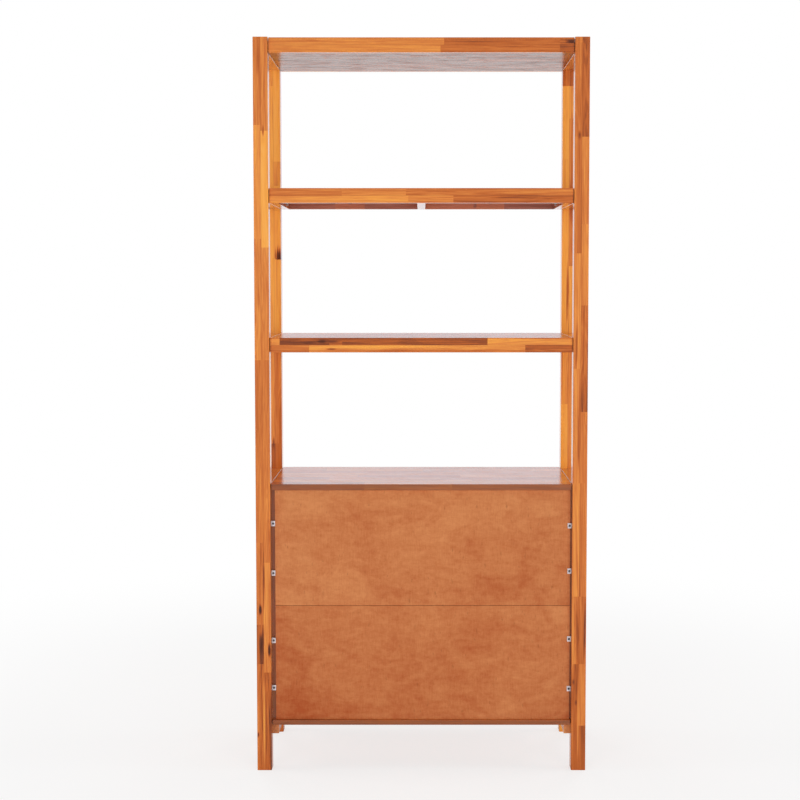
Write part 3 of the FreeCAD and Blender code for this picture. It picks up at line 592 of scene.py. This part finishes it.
def mottled(name, colour, metallic, roughness, scale, contrast):
    """A metal or plastic with fine mottling and a slightly uneven surface."""
    finish = new_finish(name)
    place = finish.place()
    spot = finish.vector(*[place[axis] * scale for axis in "xyz"])
    fine = finish.noise(spot, detail=3.0, roughness=0.6)
    darker = linear([part * (1 - contrast) for part in colour])
    return finish.surface(
        Base_Color=finish.mix(finish.step(fine, 0.35, 0.7), linear(colour), darker),
        Metallic=metallic,
        Roughness=roughness + (fine - 0.5) * 0.25,
        Normal=finish.bump(fine, MOTTLE_RELIEF * MM),
    )


def begin(name, add, **settings):
    """Start a piece from a primitive, with nothing else selected."""
    bpy.ops.object.select_all(action="DESELECT")
    add(**settings)
    piece = bpy.context.object
    piece.name = name
    bpy.ops.object.transform_apply(location=True, rotation=True, scale=True)
    return piece


def select_faces(piece, test):
    """Enter edit mode with only those faces selected that pass a test of their middle and normal."""
    bpy.ops.object.mode_set(mode="EDIT")
    bpy.ops.mesh.select_mode(type="FACE")
    bpy.ops.mesh.select_all(action="DESELECT")
    bpy.ops.object.mode_set(mode="OBJECT")
    for face in piece.data.polygons:
        face.select = test(face.center, face.normal)
    bpy.ops.object.mode_set(mode="EDIT")


def round_edges(width, segments):
    """Round the sharp edges of the piece in hand."""
    bpy.ops.object.mode_set(mode="EDIT")
    bpy.ops.mesh.select_mode(type="EDGE")
    bpy.ops.mesh.select_all(action="DESELECT")
    bpy.ops.mesh.edges_select_sharp(sharpness=math.radians(SHARP))
    bpy.ops.mesh.bevel(offset=width, segments=segments, affect="EDGES")
    bpy.ops.object.mode_set(mode="OBJECT")


def close_piece(piece):
    """Merge doubles, turn all faces outwards and shade the rounded parts smoothly."""
    bpy.ops.object.select_all(action="DESELECT")
    piece.select_set(True)
    bpy.context.view_layer.objects.active = piece
    bpy.ops.object.mode_set(mode="EDIT")
    bpy.ops.mesh.select_all(action="SELECT")
    bpy.ops.mesh.remove_doubles(threshold=0.001 * MM)
    bpy.ops.mesh.normals_make_consistent(inside=False)
    bpy.ops.object.mode_set(mode="OBJECT")
    bpy.ops.object.shade_smooth_by_angle(angle=math.radians(SMOOTH))


def copy_piece(piece, shift, turn=0.0):
    """A copy with its own mesh, turned about the depth of the unit and then moved."""
    bpy.ops.object.select_all(action="DESELECT")
    piece.select_set(True)
    bpy.context.view_layer.objects.active = piece
    bpy.ops.object.duplicate()
    copy = bpy.context.object
    copy.rotation_euler = (0, turn, 0)
    copy.location = shift
    bpy.ops.object.transform_apply(location=True, rotation=True, scale=True)
    return copy


def join_pieces(pieces):
    """Make one piece of several."""
    bpy.ops.object.select_all(action="DESELECT")
    for piece in pieces:
        piece.select_set(True)
    bpy.context.view_layer.objects.active = pieces[0]
    bpy.ops.object.join()
    return bpy.context.object


class BOOKCASE_OT_posts(bpy.types.Operator):
    """Finish the four posts"""

    bl_idname = "bookcase.posts"
    bl_label = "Posts"

    def execute(self, context):
        dress_stock("post_")
        return {"FINISHED"}


class BOOKCASE_OT_side_rails(bpy.types.Operator):
    """Finish the rails between the front and rear posts"""

    bl_idname = "bookcase.side_rails"
    bl_label = "Side rails"

    def execute(self, context):
        dress_stock("side_rail_")
        return {"FINISHED"}


class BOOKCASE_OT_shelves(bpy.types.Operator):
    """Finish the top and the two open shelves"""

    bl_idname = "bookcase.shelves"
    bl_label = "Top and shelves"

    def execute(self, context):
        shelves = ("top", "upper_shelf", "lower_shelf")
        for shelf in shelves:
            dress_stock(*[shelf + part for part in ("_rear_rail", "_end_batten", "_centre_batten")])
            dress_stock(shelf + "_front_rail", rear=context.scene.bookcase_wood.raw, rear_share=0.6)
        panels = [shelf + "_panel" for shelf in shelves]
        dress_boards(panels, (0.3, 0.6), 1.33, coat=0.62, uneven=0.25)
        dress_boards(("top_lining",), (0.18, 0.26), 1.26, coat=0.8, uneven=0.7)
        return {"FINISHED"}


class BOOKCASE_OT_cabinet(bpy.types.Operator):
    """Finish the cabinet's boards, sides, cleats and middle shelf"""

    bl_idname = "bookcase.cabinet"
    bl_label = "Cabinet"

    def execute(self, context):
        dress_stock("bottom_cleat_", gloss=1.05)
        boards = ("cabinet_top_board", "cabinet_bottom_board", "cabinet_side_left", "cabinet_side_right")
        edge = context.scene.bookcase_wood.board_edge
        dress_boards(boards, (0.36, 0.64), 1.48, coat=0.9, uneven=0.25, rear=edge)
        dress_boards(("cabinet_middle_shelf",), (0.3, 0.7), 1.35)
        return {"FINISHED"}


class BOOKCASE_OT_backs(bpy.types.Operator):
    """Finish the plywood backs"""

    bl_idname = "bookcase.backs"
    bl_label = "Backs"

    def execute(self, context):
        wood = context.scene.bookcase_wood
        finish = new_finish("stained_plywood")
        place = finish.place()
        x, z = place["x"], place["z"]

        def figure(part, **looks):
            """Noise at the scale of one part of the figure."""
            scales = zip("xyz", PLY_FIGURE[part])
            return finish.noise(finish.vector(*[place[axis] * scale for axis, scale in scales]), **looks)

        cloud = figure("cloud", detail=3.0, roughness=0.55, distortion=0.6)
        flame = figure("flame", detail=4.0, roughness=0.6, distortion=1.4)
        curl = figure("curl", detail=4.0, roughness=0.75)
        fibre = figure("fibre", detail=3.0, roughness=0.7)
        fleck = figure("fleck", detail=2.0)
        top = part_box("back_panel_upper")[1].z
        lower = (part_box("back_panel_lower")[1].z - z) > 0
        shade = (cloud - 0.5) * 0.9 + (flame - 0.5) + (curl - 0.5) * 0.85 + (fibre - 0.5) * 0.6
        shade = shade + (top - z) * 0.46 - x * 0.27 + lower * (x * 0.6 + 0.04) + 0.28
        colour = finish.mix(finish.clamp(shade, 0.0, 1.0), linear(wood.ply_light), linear(wood.ply_dark))
        colour = finish.mix(finish.step(fleck, 0.64, 0.8) * 0.4, colour, linear(wood.board_edge))
        material = finish.surface(
            Base_Color=colour,
            Roughness=0.45 + (fibre - 0.5) * 0.2,
            Normal=finish.bump(fibre + curl, PLY_RELIEF * MM),
            Specular_IOR_Level=0.2,
        )
        for node in ("back_panel_lower", "back_panel_upper"):
            give(node, material)
        return {"FINISHED"}


class BOOKCASE_OT_clips(bpy.types.Operator):
    """Model the moulded clips that hold the backs, and finish their screws"""

    bl_idname = "bookcase.clips"
    bl_label = "Clips"

    def execute(self, context):
        fittings = context.scene.bookcase_fittings
        low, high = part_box("back_panel_clips")
        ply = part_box("back_panel_lower")[1].y
        thickness = high.y - ply + fittings.clip_rise
        pattern = begin(
            "back_clips", bpy.ops.mesh.primitive_cube_add, size=1,
            scale=(fittings.clip_width, thickness, fittings.clip_height),
            location=(high.x - SCREW_INSET * MM, ply + thickness / 2, 0))
        rib = high.x - RIB_ROOM * MM
        select_faces(pattern, lambda middle, normal: True)
        bpy.ops.mesh.bisect(plane_co=(rib, 0, 0), plane_no=(1, 0, 0))
        select_faces(pattern, lambda middle, normal: normal.y < -0.9 and middle.x > rib)
        bpy.ops.mesh.extrude_region_move(TRANSFORM_OT_translate={"value": (0, low.y - ply, 0)})
        select_faces(pattern, lambda middle, normal: normal.y > 0.9)
        bpy.ops.mesh.inset(thickness=fittings.clip_rim, depth=-fittings.clip_rise)
        round_edges(CLIP_ROUND * MM, 2)
        clips = []
        for side, levels in CLIP_LEVELS.items():
            turn = 0.0 if side > 0 else math.pi
            clips += [copy_piece(pattern, (0, 0, level * MM), turn) for level in levels]
        bpy.data.objects.remove(pattern)
        piece = join_pieces(clips)
        piece.name = "back_clips"
        close_piece(piece)
        piece.data.materials.append(mottled("white_plastic", fittings.clip, 0.0, 0.45, 700, 0.06))
        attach(piece, "carcass")
        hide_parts("back_panel_clips")
        give("clip_screws", mottled("black_steel", fittings.screw, 0.6, 0.42, 500, 0.2))
        return {"FINISHED"}


class BOOKCASE_OT_doors(bpy.types.Operator):
    """Finish the two doors"""

    bl_idname = "bookcase.doors"
    bl_label = "Doors"

    def execute(self, context):
        dress_boards(("door_left", "door_right"), (0.41, 0.72), 1.35)
        return {"FINISHED"}


class BOOKCASE_OT_knobs(bpy.types.Operator):
    """Model the turned knobs"""

    bl_idname = "bookcase.knobs"
    bl_label = "Knobs"

    def execute(self, context):
        for side in ("left", "right"):
            node = "door_knob_" + side
            low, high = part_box(node)
            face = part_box("door_" + side)[0].y
            centre = Vector(((low.x + high.x) / 2, face, (low.z + high.z) / 2))
            knob = begin(
                "knob_" + side, bpy.ops.mesh.primitive_circle_add, vertices=KNOB_SIDES,
                radius=KNOB_PROFILE[0][1] * MM, fill_type="NGON", location=centre,
                rotation=(math.radians(90), 0, 0))
            select_faces(knob, lambda middle, normal: True)
            for (start, before), (end, after) in zip(KNOB_PROFILE, KNOB_PROFILE[1:]):
                bpy.ops.mesh.extrude_region_move(TRANSFORM_OT_translate={"value": (0, (start - end) * MM, 0)})
                scale = after / before
                bpy.ops.transform.resize(value=(scale, 1, scale), center_override=centre)
            bpy.ops.mesh.merge(type="CENTER")
            bpy.ops.object.mode_set(mode="OBJECT")
            close_piece(knob)
            wood = context.scene.bookcase_wood
            knob.data.materials.append(acacia(node, wood.board_stave, (0.4, 0.6), 1.35, end_share=0.0))
            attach(knob, "door_" + side)
            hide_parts(node)
        return {"FINISHED"}


class BOOKCASE_OT_catches(bpy.types.Operator):
    """Model the magnetic catches, and finish their strike plates"""

    bl_idname = "bookcase.catches"
    bl_label = "Catches"

    def execute(self, context):
        fittings = context.scene.bookcase_fittings
        low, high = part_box("magnetic_catches")
        plate_low, plate_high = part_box("strike_plate_right")
        middle = (plate_low.x + plate_high.x) / 2
        size = Vector((plate_high.x - plate_low.x, high.y - low.y, high.z - low.z))
        centre = Vector((middle, (low.y + high.y) / 2, (low.z + high.z) / 2))
        housing = begin(
            "catch_housing", bpy.ops.mesh.primitive_cube_add, size=1, scale=size, location=centre)
        select_faces(housing, lambda middle, normal: normal.y < -0.9)
        bpy.ops.mesh.inset(thickness=fittings.catch_lip, depth=-MOUTH_DEPTH * MM)
        round_edges(HOUSING_ROUND * MM, 3)
        housing.data.materials.append(mottled("brown_plastic", fittings.catch, 0.0, 0.5, 700, 0.15))
        steel = mottled("plated_steel_poles", fittings.zinc, 1.0, 0.34, 400, 0.15)
        poles = []
        for side in (-1, 1):
            pole = begin(
                "catch_pole", bpy.ops.mesh.primitive_cube_add, size=1,
                scale=(size.x * POLE_SHARE, POLE_SIZE * MM, POLE_SIZE * MM),
                location=centre + Vector((0, -size.y / 2 + POLE_INSET * MM, side * POLE_LEVEL * MM)))
            round_edges(POLE_ROUND * MM, 2)
            pole.data.materials.append(steel)
            poles.append(pole)
        catch = join_pieces([housing, *poles])
        piece = join_pieces([catch, copy_piece(catch, (-2 * middle, 0, 0))])
        piece.name = "door_catches"
        close_piece(piece)
        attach(piece, "carcass")
        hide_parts("magnetic_catches")
        strike = mottled("strike_steel", fittings.zinc, 1.0, 0.34, 400, 0.15)
        for side in ("left", "right"):
            give("strike_plate_" + side, strike)
        return {"FINISHED"}


class BOOKCASE_OT_hinges(bpy.types.Operator):
    """Finish the hinges and their screws"""

    bl_idname = "bookcase.hinges"
    bl_label = "Hinges"

    def execute(self, context):
        brass = mottled("aged_brass", context.scene.bookcase_fittings.brass, 1.0, 0.36, 300, 0.25)
        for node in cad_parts:
            if node.startswith("hinge_"):
                give(node, brass)
        return {"FINISHED"}


class BOOKCASE_OT_fasteners(bpy.types.Operator):
    """Finish the dowels, bolts and shelf pins"""

    bl_idname = "bookcase.fasteners"
    bl_label = "Dowels, bolts and pins"

    def execute(self, context):
        scene = context.scene
        give("dowels", mottled("turned_beech", scene.bookcase_wood.dowel, 0.0, 0.6, 500, 0.15))
        zinc = mottled("plated_steel", scene.bookcase_fittings.zinc, 1.0, 0.34, 400, 0.15)
        for node in ("frame_bolts", "shelf_pins"):
            give(node, zinc)
        return {"FINISHED"}


class BOOKCASE_OT_stage(bpy.types.Operator):
    """Lay the floor, hang the lamps and set the camera"""

    bl_idname = "bookcase.stage"
    bl_label = "Stage"

    def execute(self, context):
        stage = context.scene.bookcase_stage
        self.lay_floor(stage)
        self.light_world(context.scene, stage)
        self.hang_lamps(stage)
        self.set_camera(context.scene, stage)
        context.scene.view_settings.view_transform = "Standard"
        return {"FINISHED"}

    def lay_floor(self, stage):
        """A white floor that keeps the shadow near the unit."""
        bpy.ops.object.select_all(action="DESELECT")
        bpy.ops.mesh.primitive_plane_add(size=stage.floor, location=(0, 0, 0))
        floor = bpy.context.object
        floor.name = "floor"
        finish = new_finish("white_floor")
        place = finish.place()
        path = finish.outputs(finish.node("ShaderNodeLightPath", {}, {}))
        seen = path["Is Camera Ray"]
        mirrored = path["Is Glossy Ray"] + path["Is Transmission Ray"]
        far = finish.step((place["x"] * place["x"] + place["y"] * place["y"]) ** 0.5, *SHADOW_FADE)
        share = far * (seen + mirrored) + (1 - far) * (seen * SEEN_GLOW + mirrored * MIRRORED_GLOW)
        matt = finish.node("ShaderNodeBsdfDiffuse", {}, {"Color": FLOOR_PAINT})
        glow = finish.node("ShaderNodeEmission", {}, {"Color": WHITE, "Strength": 1.0})
        shader = finish.node("ShaderNodeMixShader", {}, {0: share, 1: matt, 2: glow})
        finish.node("ShaderNodeOutputMaterial", {}, {"Surface": shader})
        floor.data.materials.append(finish.block)

    def light_world(self, scene, stage):
        """Soft light from all round, and a white background."""
        scene.world = bpy.data.worlds.new("white_studio")
        finish = Finish(scene.world)
        path = finish.outputs(finish.node("ShaderNodeLightPath", {}, {}))
        mirrored = path["Is Glossy Ray"] + path["Is Transmission Ray"]
        soft = finish.node("ShaderNodeBackground", {}, {"Color": WHITE, "Strength": stage.ambient})
        white = finish.node("ShaderNodeBackground", {}, {"Color": WHITE, "Strength": 1.0})
        cool = finish.node("ShaderNodeBackground", {}, {"Color": COOL_WHITE, "Strength": 1.0})
        shader = finish.node("ShaderNodeMixShader", {}, {0: mirrored, 1: soft, 2: cool})
        shader = finish.node("ShaderNodeMixShader", {}, {0: path["Is Camera Ray"], 1: shader, 2: white})
        finish.node("ShaderNodeOutputWorld", {}, {"Surface": shader})

    def hang_lamps(self, stage):
        """Softboxes before, behind, beside and above the unit."""
        aim = Vector((0, 0, AIM_HEIGHT))
        for name, (spot, share) in SOFTBOXES.items():
            bpy.ops.object.light_add(type="AREA", location=spot)
            lamp = bpy.context.object
            lamp.name = name
            lamp.data.shape = "RECTANGLE"
            lamp.data.size, lamp.data.size_y = SOFTBOX_SIZE
            lamp.data.energy = stage.softbox * share
            lamp.visible_glossy = False
            lamp.rotation_euler = (aim - Vector(spot)).to_track_quat("-Z", "Y").to_euler()

    def set_camera(self, scene, stage):
        """A camera behind the unit, as in the photograph."""
        turn = (math.radians(90) - stage.camera_dip, 0, math.radians(180))
        bpy.ops.object.camera_add(location=(0, stage.camera_back, stage.camera_height), rotation=turn)
        camera = bpy.context.object
        camera.name = "camera"
        camera.data.lens = stage.lens
        camera.data.sensor_width = SENSOR
        camera.data.shift_x = stage.shift_x
        camera.data.shift_y = stage.shift_y
        scene.camera = camera


OPERATORS = (
    BOOKCASE_OT_posts, BOOKCASE_OT_side_rails, BOOKCASE_OT_shelves, BOOKCASE_OT_cabinet, BOOKCASE_OT_backs,
    BOOKCASE_OT_clips, BOOKCASE_OT_doors, BOOKCASE_OT_knobs, BOOKCASE_OT_catches, BOOKCASE_OT_hinges,
    BOOKCASE_OT_fasteners, BOOKCASE_OT_stage,
)


class BOOKCASE_PT_panel(bpy.types.Panel):
    """The bookcase's steps, in order"""

    bl_idname = "BOOKCASE_PT_panel"
    bl_label = "Bookcase"
    bl_space_type = "VIEW_3D"
    bl_region_type = "UI"
    bl_category = "Bookcase"

    def draw(self, context):
        for operator in OPERATORS:
            self.layout.operator(operator.bl_idname)


GROUPS = {
    "bookcase_wood": BookcaseWood,
    "bookcase_fittings": BookcaseFittings,
    "bookcase_stage": BookcaseStage,
}


def register():
    for kind in (*GROUPS.values(), *OPERATORS, BOOKCASE_PT_panel):
        bpy.utils.register_class(kind)
    for name, group in GROUPS.items():
        setattr(bpy.types.Scene, name, PointerProperty(type=group))


def unregister():
    for name in GROUPS:
        delattr(bpy.types.Scene, name)
    for kind in reversed((*GROUPS.values(), *OPERATORS, BOOKCASE_PT_panel)):
        bpy.utils.unregister_class(kind)


def main():
    """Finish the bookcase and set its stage."""
    register()
    bpy.ops.bookcase.posts()
    bpy.ops.bookcase.side_rails()
    bpy.ops.bookcase.shelves()
    bpy.ops.bookcase.cabinet()
    bpy.ops.bookcase.backs()
    bpy.ops.bookcase.clips()
    bpy.ops.bookcase.doors()
    bpy.ops.bookcase.knobs()
    bpy.ops.bookcase.catches()
    bpy.ops.bookcase.hinges()
    bpy.ops.bookcase.fasteners()
    bpy.ops.bookcase.stage()


if __name__ == "__main__":
    main()
